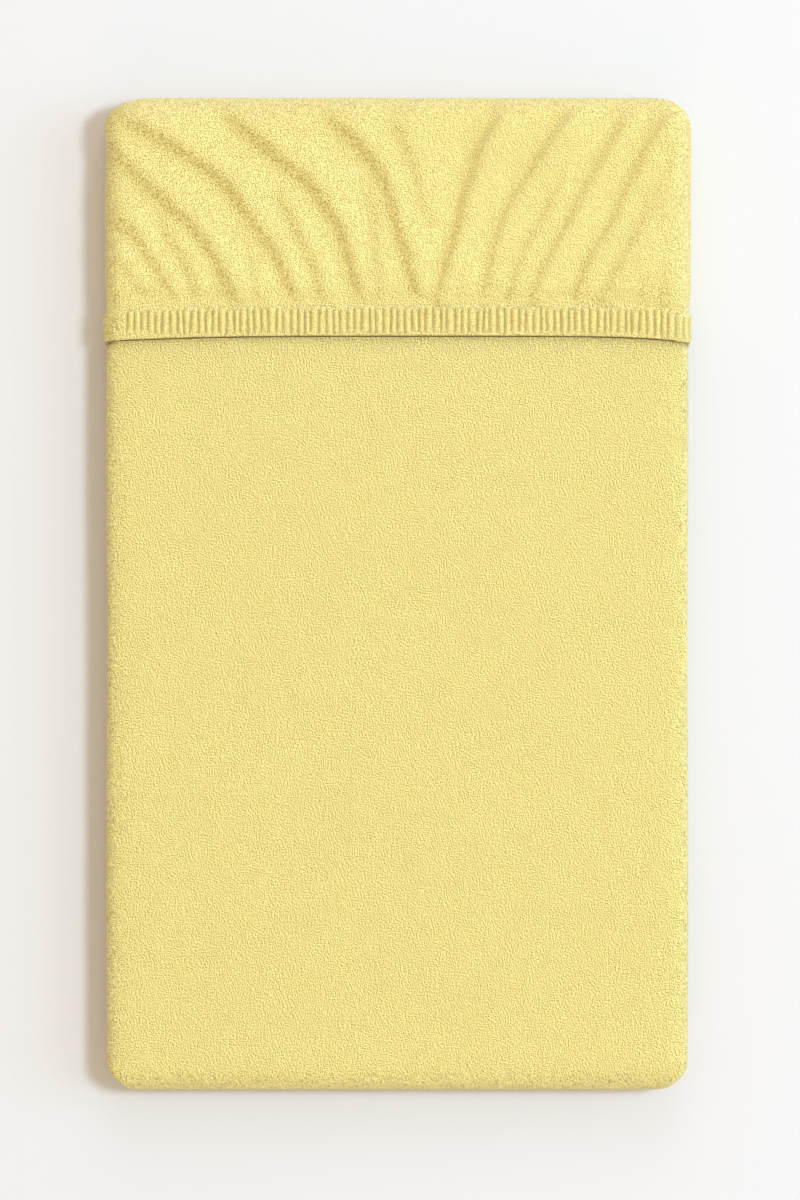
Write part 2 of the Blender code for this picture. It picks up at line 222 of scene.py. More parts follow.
pocket = {
    "flapDepth": 0.1025,
    "hemWidth": 0.0128,
    "flapRoom": 0.0020,          # between the middles of the front ply and the flap
    "endTurn": 0.0115,           # where the bundle's far turn starts, from the far end
    "cornerLeft": (0.0206, 0.0106),    # the far corners seen from above, across and along
    "cornerRight": (0.0137, 0.0116),
    "topRounding": 0.0055,
    "topRoundingEnd": 0.0080,
    "bottomRounding": 0.0040,
    "mouthBowLeft": 0.0022,      # how far the mouth has moved back at the flap's left and right edges
    "mouthBowRight": 0.0027,
    "bowPowerLeft": 3,
    "bowPowerRight": 6,
    "mouthSetback": 0.0042,      # and at the back
    "mouthSqueeze": 0.0001,      # how far the elastic draws in the pocket's sides
    "squeezeReach": 0.0250,
    "squeezeFrom": 0.0900,       # across from the middle, where it starts
    "squeezeRise": 0.0300,
    "flapColumns": 234,
    "flapRows": 58,
    "topSteps": 6,
    "wallSteps": 10,
    "bottomSteps": 4,
    "cornerSteps": 5,            # in half of a far corner
    "hemSteps": 12,              # times as many up the wall where the hem is placed on it
}

settle = {
    "sideDrop": 0.0042,          # how far the bundle's edges sag
    "sideReach": 0.0095,
    "endDrop": 0.0010,
    "endReach": 0.0130,
    "edgePower": 2.0,
    "pinch": 0.0004,             # where the elastic presses the bundle, just before the mouth
    "pinchAhead": 0.0004,
    "pinchWidth": 0.0011,
    "waves": (                   # heading in degrees from +X, length in millimetres
        {"heading": 20, "length": 83, "height": 0.00012, "phase": 0.4},
        {"heading": 75, "length": 61, "height": 0.00010, "phase": 2.1},
        {"heading": 118, "length": 97, "height": 0.00012, "phase": 4.4},
        {"heading": 155, "length": 47, "height": 0.00006, "phase": 1.3},
    ),
}

flapLowZ = frontZ + pocket["flapRoom"]
pocketY = farY - pocket["endTurn"]
insetY = pocketY - cloth["farInsetFrom"]
mouthY = farY + cloth["thickness"] / 2 - pocket["flapDepth"]


def ramp(t):
    # an even rise from 0 to 1
    t = np.clip(t, 0, 1)
    return t * t * (3 - 2 * t)


def settled(points, pinched=False):
    # the bundle sags towards its edges, and its top is a little uneven; the layers keep their order
    points = np.array(points, float)
    x, y, z = points[..., 0], points[..., 1], points[..., 2]
    edge = settle["edgePower"]
    side = np.clip(1 - (sheetHigh.x - abs(x)) / settle["sideReach"], 0, 1) ** edge
    near = np.clip(1 - (y - sheetLow.y) / settle["endReach"], 0, 1) ** edge
    far = np.clip(1 - (sheetHigh.y - y) / settle["endReach"], 0, 1) ** edge
    drop = settle["sideDrop"] * side + settle["endDrop"] * (near + far)
    if pinched:
        line = mouthAt(x, flapLowZ) - settle["pinchAhead"]
        drop = drop + settle["pinch"] * np.exp(-((y - line) / settle["pinchWidth"]) ** 2)
    for wave in settle["waves"]:
        turn = np.radians(wave["heading"])
        across = (x * np.cos(turn) + y * np.sin(turn)) / mm
        drop = drop + wave["height"] * (1 + np.sin(2 * np.pi * across / wave["length"] + wave["phase"]))
    points[..., 2] = backZ + (z - backZ) * (1 - drop / (flapLowZ - backZ))
    return points


def arc(centreX, centreY, radius, start, end, steps):
    angles = np.radians(np.linspace(start, end, steps + 1))
    return [(centreX + radius * math.cos(a), centreY + radius * math.sin(a)) for a in angles]


def run(start, end, longest):
    # evenly spaced values from start to end, both included, no further apart than longest
    return list(np.linspace(start, end, max(2, math.ceil(abs(end - start) / longest) + 1)))


def mouthAt(x, z):
    # the mouth bows back a little towards the sides and slants back down them
    drop = np.clip((flapLowZ - z) / (flapLowZ - backZ), 0, 1)
    power = np.where(x < 0, pocket["bowPowerLeft"], pocket["bowPowerRight"])
    most = np.where(x < 0, pocket["mouthBowLeft"], pocket["mouthBowRight"])
    bow = most * np.maximum(drop > 0, np.clip(abs(x) / halfPocket, 0, 1) ** power)
    return mouthY - bow - (pocket["mouthSetback"] - most) * drop


# the strip: both sides of the cloth folded to the middle, twice, and the strip folded in three lengths


def halfProfile():
    # across the strip, from the middle of its outer ply to the cloth's side edge inside
    edgeX = halfBody - sideTurnRadius
    innerX = edgeX - cloth["innerFoldSetback"]
    small = cloth["plyPitch"] / 2
    slitX = cloth["centreSlit"] / 2 + small + cloth["thickness"] / 2
    columns = cloth["innerColumns"]
    points = [(x, 0.0) for x in np.linspace(0, edgeX, cloth["outerColumns"] + 1)[:-1]]
    points += arc(edgeX, sideTurnRadius, sideTurnRadius, -90, 90, cloth["sideTurnSteps"])
    points += [(x, stripRise) for x in np.linspace(edgeX, slitX, columns + 1)[1:-1]]
    points += arc(slitX, stripRise - small, small, 90, 270, cloth["smallTurnSteps"])
    points += [(x, stripRise - 2 * small) for x in np.linspace(slitX, innerX, columns + 1)[1:-1]]
    points += arc(innerX, sideTurnRadius, small, 90, -90, cloth["smallTurnSteps"])
    points += [(x, cloth["plyPitch"]) for x in np.linspace(innerX, slitX - small, columns + 1)[1:]]
    return points


def stripProfile():
    right = halfProfile()
    return [(-x, height) for x, height in right[:0:-1]] + right


def sideInset(y, z):
    # how much narrower the strip is on each side, at its near corners and inside the pocket
    corner = cloth["nearCornerSweep"] * max(0.0, 1 - (y - nearY) / cloth["nearCorner"])
    late = cloth["lateNarrowing"] * (z > backZ)
    held = ramp((y - mouthAt(halfPocket, z) - late) / cloth["narrowingLength"] + 1)
    rounded = ramp((y - insetY) / (farY - cloth["farInsetTo"] - insetY))
    cut = cloth["nearCorner"] * (1 - math.sqrt(1 - corner**2))
    inner = 1 - ramp((z - middleZ) / (frontZ - middleZ))
    wander = cloth["wander"] + (cloth["innerWander"] - cloth["wander"]) * inner
    swell = math.sin(y / cloth["wanderLength"] + z / cloth["wanderHeight"])
    uneven = wander * (1 + swell) * (1 - held)
    return cut + cloth["narrowing"] * held + cloth["farInset"] * rounded + uneven


def straightRows(z, normalZ, stations, part="strip"):
    return [(y, z, 0.0, normalZ, sideInset(y, z), part) for y in stations]


def turnRows(centreY, centreZ, radius, start, end):
    rows = []
    for y, z in arc(centreY, centreZ, radius, start, end, cloth["lengthTurnSteps"]):
        rows.append((y, z, (centreY - y) / radius, (centreZ - z) / radius, sideInset(y, z), "strip"))
    return rows


def stripRows():
    # back length from inside the pocket, near turn, front length, far turn, middle length
    turnY = nearY + nearTurnRadius
    cornerY = nearY + cloth["nearCorner"]
    straightZ = (backZ + nearTurnRadius, frontZ - nearTurnRadius)
    nearCorner = run(cornerY, turnY, cloth["cornerRow"])[1:-1]
    farEnd = run(pocketY, insetY, cloth["turnRow"])

    mouth = float(mouthAt(halfPocket, backZ))
    outside = run(mouth - cloth["narrowRow"], mouth - cloth["narrowingLength"], cloth["narrowRow"])
    rows = straightRows(backZ, 1.0, farEnd + [mouth + cloth["backMouthRoom"]], "pocket")
    rows += straightRows(backZ, 1.0, [mouth], "mouth")
    rows += straightRows(backZ, 1.0, outside[:-1] + run(outside[-1], cornerY, cloth["backRow"]))
    rows += straightRows(backZ, 1.0, nearCorner)
    rows += turnRows(turnY, straightZ[0], nearTurnRadius, 270, 180)
    rows += turnRows(turnY, straightZ[1], nearTurnRadius, 180, 90)

    mouth = float(mouthAt(halfPocket, frontZ))
    mouthRows = (mouth - cloth["mouthRowsFrom"], mouth + cloth["mouthRowsTo"])
    rows += straightRows(frontZ, -1.0, nearCorner[::-1])
    rows += straightRows(frontZ, -1.0, run(cornerY, mouthRows[0], cloth["frontRow"]))
    rows += straightRows(frontZ, -1.0, run(*mouthRows, cloth["mouthRow"])[1:])
    rows += straightRows(frontZ, -1.0, run(mouthRows[1], insetY, cloth["middleRow"])[1:])
    rows += straightRows(frontZ, -1.0, farEnd[-2:0:-1])
    rows += turnRows(pocketY, (frontZ + middleZ) / 2, farTurnRadius, 90, 0)[:-1]
    rows += turnRows(pocketY, (frontZ + middleZ) / 2, farTurnRadius, 0, -90)

    mouth = float(mouthAt(halfPocket, middleZ)) + cloth["lateNarrowing"]
    narrowed = run(mouth, mouth - cloth["narrowingLength"], cloth["narrowRow"])[1:]
    freeEnd = nearY + cloth["stripEndGap"]
    rows += straightRows(middleZ, 1.0, farEnd[1:])
    rows += straightRows(middleZ, 1.0, run(insetY, mouth, cloth["middleRow"])[1:])
    rows += straightRows(middleZ, 1.0, narrowed + run(narrowed[-1], freeEnd, cloth["middleRow"])[1:])
    return rows


def addGrid(mesh, points, leaveOut=None):
    # cloth through these rows of points
    corners = [[mesh.verts.new(point) for point in row] for row in points]
    for i, (low, high) in enumerate(zip(corners, corners[1:])):
        for j in range(len(low) - 1):
            if leaveOut is None or not leaveOut(i, j):
                mesh.faces.new((low[j], low[j + 1], high[j + 1], high[j]))
    return corners


def addStrip(mesh):
    profile = stripProfile()
    rows = stripRows()
    points = []
    for y, z, normalY, normalZ, inset, part in rows:
        share = 1 - inset / halfBody
        points.append([(x * share, y + h * normalY, z + h * normalZ) for x, h in profile])
    middle = len(profile) // 2
    flatReach = cloth["outerColumns"]
    outerReach = flatReach + cloth["sideTurnSteps"] // 2

    def inPocket(i, j):
        # the outer ply is the pocket's own there, and is slit beside the mouth
        parts = (rows[i][5], rows[i + 1][5])
        near = min(abs(j - middle), abs(j + 1 - middle))
        far = max(abs(j - middle), abs(j + 1 - middle))
        if far > outerReach:
            return False
        return "pocket" in parts or ("mouth" in parts and near >= flatReach)

    corners = addGrid(mesh, settled(points, pinched=True), inPocket)
    # painted shade: a dark line on the front ply just ahead of the mouth, under the hem's lip, fading out
    # at the bundle's sides
    depth = mesh.verts.layers.float["depth"]
    for (y, z, normalY, normalZ, inset, part), row in zip(rows, corners):
        if z != frontZ:
            continue
        for corner in row:
            if corner.co.z > frontZ - cloth["thickness"] - settle["sideDrop"]:
                ahead = float(mouthAt(corner.co.x, flapLowZ)) - corner.co.y
                end = ramp((halfBody - abs(corner.co.x)) / hem["lineEnd"])
                corner[depth] = float(end * ramp((hem["lineAhead"] - ahead) / hem["lineFade"] + 1))
    mouthRow = [i for i, row in enumerate(rows) if row[5] == "mouth"][0]
    return corners[mouthRow][middle - flatReach:middle + flatReach + 1]


# the pocket: a cap over the far end, with its hem round the mouth

hem = {
    "thickness": 0.0021,
    "finer": 2,                  # hem columns to each column of the pocket
    "ribShares": (0, 0.13, 0.31, 0.5, 0.69, 0.87),     # where the columns are on a rib of the flap
    "wallShares": (0, 0.12, 0.5, 0.88),            # and on one of the wall
    "rows": (0.0, 0.0003, 0.0008, 0.0015, 0.0026, 0.0045, 0.0066, 0.0087, 0.0103, 0.0112, 0.0120, 0.0128),
    "lip": 0.0012,               # how far its edge is rounded
    "thinnest": 0.0007,          # at the very edge
    "taper": 0.0012,             # where the hem thins out into the pocket
    "footUp": -0.97,             # how far up the pocket faces where the hem starts to thicken
    "fullUp": -0.27,
    "ribHeight": 0.0014,
    "wallRibs": 0.6,             # the height of those beside the bundle, as a share
    "ribLeast": 0.75,            # the lowest rib, as a share of the highest
    "ribJitter": 0.00030,
    "ribLean": 0.035,
    "leanRoom": 0.0020,          # no rib leans this close to the flap's sides
    "ribRoundness": 2,
    "plainLevel": 0.6,           # of the cloth beyond the ribs' ends, as a share of their height
    "ribStart": 0.0011,
    "ribStartJitter": 0.0005,
    "plainLipLeft": 0.0020,      # how much later the ribs start at the left end
    "plainLipPower": 6,
    "plainLeft": (-0.0070, 0.0020),    # without ribs, round the left edge of the flap
    "grooveCrown": 0.80,         # up to this height of a rib its cloth gets painted shade
    # painted shade: how dark the grooves are made
    "paintedGrooveShade": 0.45,
    "lineReach": 0.0003,         # of the painted shade on the lip's edge
    "lineAhead": 0.0001,         # and on the cloth under it, ahead of the mouth
    "lineFade": 0.0004,
    "lineEnd": 0.0030,           # where it fades out at the bundle's sides
    "ribEnd": 0.0119,
    "ribEndJitter": 0.0005,
    "ribFade": 0.0009,
    "drawReach": 0.160,          # how far round the hem the random draws reach, from the flap's middle
    "drawStep": 0.0031,
    "seed": 7,
}
ribPlaces = np.arange(-hem["drawReach"], hem["drawReach"] + mm, hem["drawStep"])

gathers = {
    "puff": 0.0029,              # mean height of the gathered cloth over the flap's lowest level
    "start": 0.0125,             # up from the mouth
    "rise": 0.0095,
    "foldRise": 0.0015,
    "fullTo": 0.1215,            # across from the middle, where the gathers start to fade
    "sideFade": 0.0170,
    "wallPuff": 0.40,            # how much of it shows on the pocket's sides
    "endFullTo": 0.0890,         # up from the mouth
    "endFade": 0.0170,
    "curveSteps": 8,             # between two points of a fold's line
    "foldSlope": 1.18,           # the slope of a fold's steep side
    "troughWidth": 0.0056,
    "crestWidth": 0.0034,
    "foldReach": 0.0090,         # how gently the cloth comes back to the mean
    "nearFade": 0.0015,
    "farFade": 0.0200,
    "farReach": 7,               # millimetres that a fold runs on beyond its last point
    "mostFade": 0.6,             # of its length
    "softFloor": 0.0005,
    "smoothness": 0.40,          # how much of the pile the pull on the cloth lays flat, next to the hem's
    "samples": 60,
    # the steep side of each fold, which faces left: millimetres across from the middle and up from the
    # mouth, from the hem outwards
    "folds": (
        {"depth": 1.00, "line": ((-42, 8), (-47, 24), (-52, 35), (-59, 45), (-66, 55), (-74, 66),
                                 (-87, 76), (-104, 86), (-124, 97))},
        {"depth": 0.95, "line": ((-67, 8), (-73, 24), (-79, 35), (-86, 45), (-96, 55), (-108, 66),
                                 (-118, 76), (-130, 89))},
        {"depth": 1.00, "line": ((-13, 8), (-18, 24), (-21, 35), (-24, 45), (-30, 55), (-38, 66),
                                 (-50, 76), (-62, 86), (-78, 99))},
        {"depth": 0.95, "line": ((11, 8), (7, 24), (4, 35), (1, 45), (-2, 55), (-5, 66),
                                 (-11, 76), (-19, 85), (-34, 98))},
        {"depth": 0.45, "line": ((16, 46), (10, 59), (8, 71), (5, 78), (1, 88), (-3, 98))},
        {"depth": 0.90, "line": ((15, 8), (21, 29), (24, 40), (27, 50), (29, 60), (33, 71),
                                 (36, 81), (41, 89), (48, 99))},
        {"depth": 0.80, "line": ((35, 8), (40, 29), (42, 40), (46, 50), (51, 60), (58, 71),
                                 (64, 81), (70, 89), (78, 99))},
        {"depth": 0.70, "line": ((45, 8), (52, 29), (56, 40), (62, 50), (67, 60), (72, 69))},
        {"depth": 0.75, "line": ((55, 8), (63, 29), (69, 40), (74, 50), (79, 60), (85, 71),
                                 (91, 81), (95, 89), (102, 99))},
        {"depth": 0.75, "line": ((74, 8), (81, 29), (87, 40), (93, 50), (97, 60), (103, 71),
                                 (107, 81), (112, 89), (119, 99))},
        {"depth": 0.60, "line": ((84, 8), (95, 29), (101, 40), (105, 50), (111, 63))},
        {"depth": 0.35, "line": ((112, 50), (115, 66), (118, 76), (122, 90))},
        {"depth": 0.85, "line": ((-93, 8), (-100, 24), (-107, 35), (-114, 45), (-124, 55))},
        {"depth": 0.75, "line": ((-82, 8), (-88, 24), (-93, 35), (-97, 41), (-103, 52))},
        {"depth": 0.65, "line": ((-101, 8), (-113, 24), (-119, 31), (-129, 38))},
        {"depth": 0.60, "line": ((-109, 6), (-117, 15), (-123, 20), (-131, 27))},
        {"depth": 0.70, "line": ((-30, 8), (-34, 24), (-38, 35), (-43, 45), (-48, 55), (-52, 64))},
        {"depth": 0.55, "line": ((-7, 8), (-8, 24), (-9, 37), (-10, 50), (-14, 66))},
        {"depth": 0.45, "line": ((-57, 8), (-61, 24), (-63, 34), (-65, 44))},
        {"depth": 0.35, "line": ((-77, 8), (-77, 25))},
        {"depth": 0.35, "line": ((1, 8), (-1, 26))},
        {"depth": 0.40, "line": ((29, 8), (28, 27))},
        {"depth": 0.35, "line": ((105, 8), (106, 27))},
        {"depth": 0.35, "line": ((112, 8), (116, 28))},
    ),
}

topFlatX = halfPocket - pocket["topRounding"]
bottomFlatX = halfPocket - pocket["bottomRounding"]
sharedX = (halfBody - sideTurnRadius) * (1 - cloth["narrowing"] / halfBody)


def foldCurve(line):
    # evenly spaced points on a smooth curve through these, and how far along it each is
    knots = np.array(line, float)
    onward = knots[-1] - knots[-2]
    knots = np.vstack([knots, knots[-1] + gathers["farReach"] * onward / np.hypot(*onward)]) * mm
    ends = np.stack([2 * knots[0] - knots[1], 2 * knots[-1] - knots[-2]])
    knots = np.concatenate([ends[:1], knots, ends[1:]])
    t = np.linspace(0, 1, gathers["curveSteps"] + 1)[:-1, None]
    parts = []
    for a, b, c, d in zip(knots, knots[1:], knots[2:], knots[3:]):
        parts.append(b + (c - a) * t / 2 + (2 * a - 5 * b + 4 * c - d) * t**2 / 2
                     + (3 * b - a - 3 * c + d) * t**3 / 2)
    points = np.concatenate(parts + [knots[-2:-1]])
    along = np.concatenate([[0], np.hypot(*np.diff(points, axis=0).T).cumsum()])
    even = np.linspace(0, along[-1], gathers["samples"])
    return np.stack([np.interp(even, along, points[:, i]) for i in (0, 1)], axis=-1), even


def foldHeight(x, up):
    # height over the mean of all the folds together: each has a trough, a steep side and a crest
    place = np.stack([x, up], axis=-1)[..., None, :]
    total = np.zeros(x.shape)
    for fold in gathers["folds"]:
        points, along = foldCurve(fold["line"])
        step = points[1:] - points[:-1]
        length = np.hypot(step[:, 0], step[:, 1])
        step = step / length[:, None]
        apart = place - points[:-1]
        ahead = (apart * step).sum(-1)
        aside = apart[..., 0] * step[:, 1] - apart[..., 1] * step[:, 0]
        beyond = ahead - np.clip(ahead, 0, length)
        nearest = np.hypot(aside, beyond).argmin(-1)[..., None]
        aside = np.take_along_axis(aside, nearest, -1)[..., 0]
        beyond = np.take_along_axis(beyond, nearest, -1)[..., 0]
        reached = along[nearest[..., 0]] + np.take_along_axis(ahead, nearest, -1)[..., 0]
        farFade = min(gathers["farFade"], gathers["mostFade"] * along[-1])
        ends = ramp(reached / gathers["nearFade"]) * ramp((along[-1] - reached) / farFade)
        width = np.where(aside < 0, gathers["troughWidth"], gathers["crestWidth"])
        shape = width * np.tanh(aside / width) * np.exp(-np.hypot(aside, beyond) / gathers["foldReach"])
        total = total + fold["depth"] * ends * shape
    return gathers["foldSlope"] * total


def puffOut(x, y):
    # how far the gathered cloth stands out, by its place across and along the unrolled flap and wall
    up = y - mouthY
    sides = 1 - ramp((abs(x) - gathers["fullTo"]) / gathers["sideFade"])
    end = 1 - ramp((up - gathers["endFullTo"]) / gathers["endFade"])
    mean = gathers["puff"] * ramp((up - gathers["start"]) / gathers["rise"])
    folds = foldHeight(x, up) * ramp((up - gathers["start"]) / gathers["foldRise"])
    height = (mean + folds) * sides * end
    return (height + np.hypot(height, gathers["softFloor"]) - gathers["softFloor"]) / 2


def wallProfile(finer=1):
    # up the pocket's wall, from the back to the flap, as an array with a column for each of: inset at the
    # sides, inset at the end, height, outward and upward parts of its normal, unrolled distance
    topZ = flapLowZ - pocket["topRounding"]
    bottomZ = backZ + pocket["bottomRounding"]
    quarter = math.pi / 2
    points = []
    for a in np.linspace(-quarter, 0, pocket["bottomSteps"] * finer + 1):
        inset = pocket["bottomRounding"] * (1 - math.cos(a))
        z = bottomZ + pocket["bottomRounding"] * math.sin(a)
        away = pocket["topRounding"] * quarter + topZ - z
        points.append((inset, inset, z, math.cos(a), math.sin(a), away))
    for z in np.linspace(bottomZ, topZ, pocket["wallSteps"] * finer + 1)[1:-1]:
        points.append((0, 0, z, 1, 0, pocket["topRounding"] * quarter + topZ - z))
    for a in np.linspace(0, quarter, pocket["topSteps"] * finer + 1):
        share = 1 - math.cos(a)
        z = topZ + pocket["topRounding"] * math.sin(a)
        away = pocket["topRounding"] * (quarter - a)
        points.append((pocket["topRounding"] * share, pocket["topRoundingEnd"] * share,
                       z, math.cos(a), math.sin(a), away))
    return np.array(points)


def squeezed(x, z, up):
    # the elastic draws the pocket in beside the mouth, but not on its back
    share = (1 - ramp(up / pocket["squeezeReach"])) * ramp((z - backZ) / pocket["bottomRounding"])
    beside = ramp((abs(x) - pocket["squeezeFrom"]) / pocket["squeezeRise"])
    return x - np.sign(x) * pocket["mouthSqueeze"] * share * beside


def sidePoints(side, shares, wall):
    # rows of points up the wall, at these shares of the way from the hem to the far corner
    corner = pocket["cornerLeft"] if side < 0 else pocket["cornerRight"]
    x = side * (halfPocket - wall[:, 0])
    z = wall[:, 2]
    mouth = mouthAt(x, z)
    hemTop = mouth + pocket["hemWidth"]
    y = hemTop + (farY - corner[1] - hemTop) * np.array(shares)[:, None]
    return np.stack([squeezed(x, z, y - mouth), y, z + 0 * y], axis=-1)


def cornerPoints(side, angles, wall):
    across, along = pocket["cornerLeft"] if side < 0 else pocket["cornerRight"]
    a = np.radians(angles)[:, None]
    x = side * (halfPocket - across + (across - wall[:, 0]) * np.cos(a))
    y = farY - along + (along - wall[:, 1]) * np.sin(a)
    return np.stack([x, y, wall[:, 2] + 0 * x], axis=-1)


def wallPoints():
    # round the pocket from the left of the hem to its right: an array of columns up the wall
    wall = wallProfile()
    half = pocket["cornerSteps"]
    sideShares = np.linspace(0, 1, pocket["flapRows"] - half + 1)[:-1]
    angles = np.linspace(0, 90, 2 * half + 1)
    left = -halfPocket + pocket["cornerLeft"][0]
    right = halfPocket - pocket["cornerRight"][0]
    across = np.linspace(left, right, pocket["flapColumns"] - 2 * half + 1)[1:-1]
    end = np.stack(np.broadcast_arrays(across[:, None], farY - wall[:, 1], wall[:, 2]), axis=-1)
    return np.concatenate([
        sidePoints(-1, sideShares, wall), cornerPoints(-1, angles, wall), end,
        cornerPoints(1, angles[::-1], wall), sidePoints(1, sideShares[::-1], wall)])


def wallFacing():
    # which way the pocket's wall faces at each of those columns, across and along
    half = pocket["cornerSteps"]
    angles = np.radians(np.linspace(0, 90, 2 * half + 1))
    corner = np.stack([np.cos(angles), np.sin(angles)], axis=-1)
    side = np.tile((1.0, 0.0), (pocket["flapRows"] - half, 1))
    end = np.tile((0.0, 1.0), (pocket["flapColumns"] - 2 * half - 1, 1))
    left = np.concatenate([side, corner]) * (-1, 1)
    return np.concatenate([left, end, corner[::-1], side])


def flapPoints(border):
    # the flap between its hem row and the pocket's rounded edge, blended from its four sides
    rows, columns = pocket["flapRows"], pocket["flapColumns"]
    left = border[:rows + 1]
    far = border[rows:rows + columns + 1]
    right = border[:rows + columns - 1:-1]
    x = np.linspace(-topFlatX, topFlatX, columns + 1)
    hemTop = mouthAt(x, flapLowZ) + pocket["hemWidth"]
    near = np.stack([squeezed(x, flapLowZ, pocket["hemWidth"]), hemTop, 0 * x + flapLowZ], axis=-1)
    u = np.linspace(0, 1, columns + 1)[None, :, None]
    v = np.linspace(0, 1, rows + 1)[:, None, None]
    sides = (1 - v) * near[None] + v * far[None] + (1 - u) * left[:, None] + u * right[:, None]
    corners = ((1 - u) * (1 - v) * left[0] + u * (1 - v) * right[0]
               + (1 - u) * v * left[-1] + u * v * right[-1])
    return sides - corners


def ribEdges(start, end, count, draw):
    edges = np.linspace(start, end, count + 1)
    edges[1:-1] += draw.normal(0, hem["ribJitter"], count - 1)
    return edges


def ribColumns(edges, shares):
    # for each column of the hem: its place and how high a rib stands there, from 0 to 1
    shares = np.array(shares)
    places = (edges[:-1, None] + np.diff(edges)[:, None] * shares).ravel()
    crown = 1 - abs(2 * shares - 1) ** hem["ribRoundness"]
    return np.append(places, edges[-1]), np.append(np.tile(crown, len(edges) - 1), 0)


def hemRing():
    # places round the mouth, from the back's left edge over the flap to the back's right edge:
    # x, z, outward and upward parts of the normal, distance from the flap's middle, and the ribs' crowns
    finer = hem["finer"]
    draw = np.random.default_rng(hem["seed"])
    wall = wallProfile(pocket["hemSteps"])
    flatCount = pocket["flapColumns"] * finer // len(hem["ribShares"])
    wallCount = (len(wallProfile()) - 1) * finer // len(hem["wallShares"])
    x, crown = ribColumns(ribEdges(-topFlatX, topFlatX, flatCount, draw), hem["ribShares"])
    flap = np.stack(np.broadcast_arrays(x, flapLowZ, 0, 1, x, crown), axis=-1)
    sides = []
    for side in (-1, 1):
        away, crown = ribColumns(ribEdges(0, wall[0, 5], wallCount, draw), hem["wallShares"])
        inset, z, out, up = (np.interp(away, wall[::-1, 5], wall[::-1, i]) for i in (0, 2, 3, 4))
        rows = np.stack([halfPocket - inset, z, out, up, topFlatX + away, crown], axis=-1)
        flat = np.linspace(bottomFlatX, sharedX, finer + 1)[1:]
        beyond = [(x, backZ, 0, -1, topFlatX + wall[0, 5] + bottomFlatX - x, 0) for x in flat]
        rows = np.concatenate([rows, beyond])
        sides.append(rows * (side, 1, side, 1, side, 1))
    return np.concatenate([sides[0][:0:-1], flap, sides[1][1:]])


def ribShown(along, up):
    # 1 where the ribs show and 0 beyond their uneven ends; they start later near the hem's left end
    draw = np.random.default_rng(hem["seed"] + 1)
    starts = hem["ribStart"] + draw.normal(0, hem["ribStartJitter"], len(ribPlaces))
    starts = starts + hem["plainLipLeft"] * np.clip(-ribPlaces / topFlatX, 0, 1) ** hem["plainLipPower"]
    ends = hem["ribEnd"] + draw.normal(0, hem["ribEndJitter"], len(ribPlaces))
    start = np.interp(along, ribPlaces, starts)
    end = np.interp(along, ribPlaces, ends)
    fade = hem["ribFade"]
    plainFrom, plainTo = hem["plainLeft"]
    plain = ramp((along + topFlatX - plainFrom) / fade) * ramp((plainTo - along - topFlatX) / fade)
    return (1 - plain) * ramp((up - start) / fade) * ramp((end - up) / fade)


def ribHeights(along, up, crown):
    # each rib's height varies a little
    draw = np.random.default_rng(hem["seed"] + 3)
    depth = np.interp(along, ribPlaces, draw.uniform(hem["ribLeast"], 1.0, len(ribPlaces)))
    level = hem["plainLevel"]
    return hem["ribHeight"] * (level + depth * ribShown(along, up) * (crown - level))


def thicknessWeight(thickness):
    return (thickness - hem["thinnest"]) / (hem["thickness"] - hem["thinnest"])


def addHem(mesh):
    ring = hemRing()
    x, z, out, facing, along, crown = ring.T
    up = np.array(hem["rows"])[:, None]
    thick = ramp((facing - hem["footUp"]) / (hem["fullUp"] - hem["footUp"]))
    share = thick * ramp((pocket["hemWidth"] - up) / hem["taper"])
    rise = share * (hem["thickness"] - cloth["thickness"]) / 2
    y = mouthAt(x, z) + up
    draw = np.random.default_rng(hem["seed"] + 2)
    lean = np.interp(along, ribPlaces, draw.normal(0, hem["ribLean"], len(ribPlaces)))
    leaning = (facing == 1) * (abs(x) < topFlatX - hem["leanRoom"])
    drift = lean * leaning * (up - pocket["hemWidth"] / 2)
    points = np.stack([squeezed(x + drift, z, up) + out * rise, y, z + facing * rise], axis=-1)
    corners = addGrid(mesh, settled(points))
    ribs = share * ribHeights(along, up, crown) * (hem["wallRibs"] + (1 - hem["wallRibs"]) * ramp(facing))
    lip = np.sqrt(1 - np.clip(1 - up / hem["lip"], 0, 1) ** 2)
    calm = share * ribShown(along, up)
    # painted shade in the ribs' grooves and along the lip's edge, kept in the depth attribute
    grooveShadeMask = calm * np.clip(1 - crown / hem["grooveCrown"], 0, 1)
    under = np.clip(1 - up / hem["lineReach"], 0, 1)
    plain = thicknessWeight(cloth["thickness"])
    weight = mesh.verts.layers.deform.active
    rib = mesh.verts.layers.float_vector["rib"]
    depth = mesh.verts.layers.float["depth"]
    smooth = mesh.verts.layers.float["smooth"]
    for i, row in enumerate(corners):
        for j, corner in enumerate(row):
            corner[weight][0] = (plain + (1 - plain) * share[i, j]) * lip[i, 0]
            corner[rib] = (out[j] * ribs[i, j], 0, facing[j] * ribs[i, j])
            corner[depth] = max(hem["paintedGrooveShade"] * grooveShadeMask[i, j], under[i, 0] * facing[j])
            corner[smooth] = calm[i, j]
    return corners


def joinRows(mesh, fineRow, coarseRow):
    # cloth between a row of many points and the next, of fewer
    finer = hem["finer"]
    for i, (start, end) in enumerate(zip(coarseRow, coarseRow[1:])):
        mesh.faces.new(fineRow[i * finer:(i + 1) * finer + 1] + [end, start])


